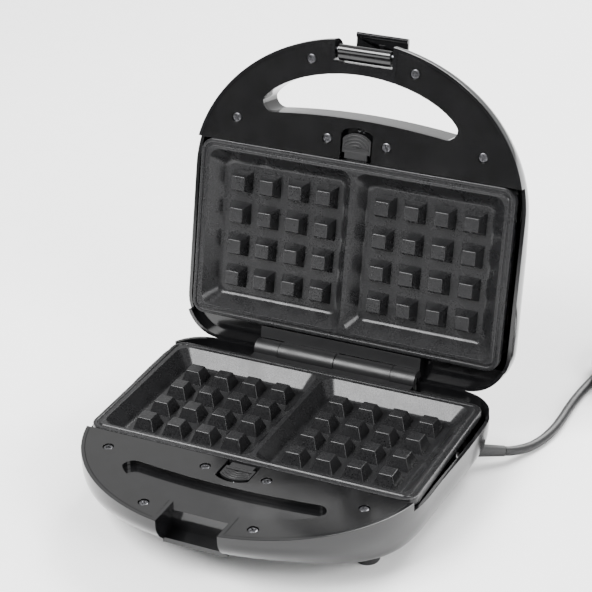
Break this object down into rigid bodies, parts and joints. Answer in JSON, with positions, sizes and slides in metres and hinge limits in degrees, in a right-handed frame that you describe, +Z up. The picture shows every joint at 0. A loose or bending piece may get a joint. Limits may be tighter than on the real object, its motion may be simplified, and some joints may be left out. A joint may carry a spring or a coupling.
{
  "type": "waffle maker",
  "caption": "Electric waffle maker with a hinged lid, studded plates, a handle opening, a fold-over latch, rubber feet and a mains cord, standing open.",
  "frame": {"origin": "on the surface it stands on, under the middle of the object's own box without its cord", "axes": "+Z up, +Y from the handle to the hinge, +X to the right seen from the handle"},
  "size_m": [0.3683, 0.3982, 0.2557],
  "materials": {
    "gloss_housing": "moulded and polished, high gloss",
    "gloss_cover": "moulded, high gloss with a thin bright edge",
    "satin_plastic": "moulded with a fine satin texture",
    "nonstick_plate": "die-cast aluminium with a speckled satin non-stick coating",
    "aluminised_tray": "pressed sheet, dull bright",
    "element_sheath": "dark oxidised tubular sheath",
    "zinc_steel": "zinc plated",
    "spring_steel": "drawn spring wire",
    "phenolic": "moulded phenolic, dull",
    "fuse_sleeve": "woven glass sleeve",
    "terminal_nylon": "moulded nylon, natural",
    "red_lens": "translucent moulded lens",
    "green_lens": "translucent moulded lens",
    "rubber_foot": "matt moulded rubber",
    "cord_jacket": "smooth matt cord jacket",
    "cord_moulding": "soft moulded PVC",
    "brass_blade": "stamped, bright"
  },
  "bodies": {
    "base": {"lower_housing": "gloss_housing", "lower_handle_cover": "gloss_cover", "lower_cooking_plate": "nonstick_plate", "lower_reflector_tray": "aluminised_tray", "lower_heating_element": "element_sheath", "lower_catch_spring": "spring_steel", "lower_cover_screw_1": "zinc_steel", "lower_cover_screw_2": "zinc_steel", "lower_cover_screw_3": "zinc_steel", "lower_cover_screw_4": "zinc_steel", "lower_cover_screw_5": "zinc_steel", "lower_cover_screw_6": "zinc_steel", "hinge_pin": "zinc_steel", "thermostat": "phenolic", "thermal_fuse": "fuse_sleeve", "terminal_block": "terminal_nylon", "inner_mains_lead": "cord_jacket", "cord_clamp": "satin_plastic", "cord_strain_relief": "cord_moulding", "foot_front_left": "rubber_foot", "foot_front_right": "rubber_foot", "foot_rear_left": "rubber_foot", "foot_rear_right": "rubber_foot", "mains_cord": "cord_jacket", "mains_cord_coil": "cord_jacket", "cord_tie": "cord_moulding", "mains_plug": "cord_moulding", "plug_blade_left": "brass_blade", "plug_blade_right": "brass_blade"},
    "lid": {"upper_housing": "gloss_housing", "upper_handle_cover": "gloss_cover", "upper_cooking_plate": "nonstick_plate", "upper_reflector_tray": "aluminised_tray", "upper_heating_element": "element_sheath", "upper_catch_spring": "spring_steel", "upper_cover_screw_1": "zinc_steel", "upper_cover_screw_2": "zinc_steel", "upper_cover_screw_3": "zinc_steel", "upper_cover_screw_4": "zinc_steel", "upper_cover_screw_5": "zinc_steel", "upper_cover_screw_6": "zinc_steel", "latch_pin": "zinc_steel", "lid_thermal_cutout": "phenolic", "power_light": "red_lens", "ready_light": "green_lens"},
    "latch": {"latch": "gloss_housing"},
    "lower_catch": {"lower_plate_catch": "satin_plastic"},
    "upper_catch": {"upper_plate_catch": "satin_plastic"}
  },
  "joints": [
    {"name": "lid_hinge", "type": "hinge", "parent": "base", "child": "lid", "pos_m": [0, 0.06826, 0.0437], "axis": [1, 0, 0], "range_deg": [0, 102]},
    {"name": "latch_pivot", "type": "hinge", "parent": "lid", "child": "latch", "pos_m": [0, 0.11825, 0.24858], "axis": [1, 0, 0], "range_deg": [0, 178]},
    {"name": "lower_catch_slide", "type": "slide", "parent": "base", "child": "lower_catch", "axis": [0, -1, 0], "range_m": [0, 0.0035], "stiffness_N_per_m": 400, "springref_m": -0.003, "deforming": ["lower_catch_spring"]},
    {"name": "upper_catch_slide", "type": "slide", "parent": "lid", "child": "upper_catch", "axis": [0, 0.2079, 0.9781], "range_m": [0, 0.0035], "stiffness_N_per_m": 400, "springref_m": -0.003, "deforming": ["upper_catch_spring"]}
  ]
}
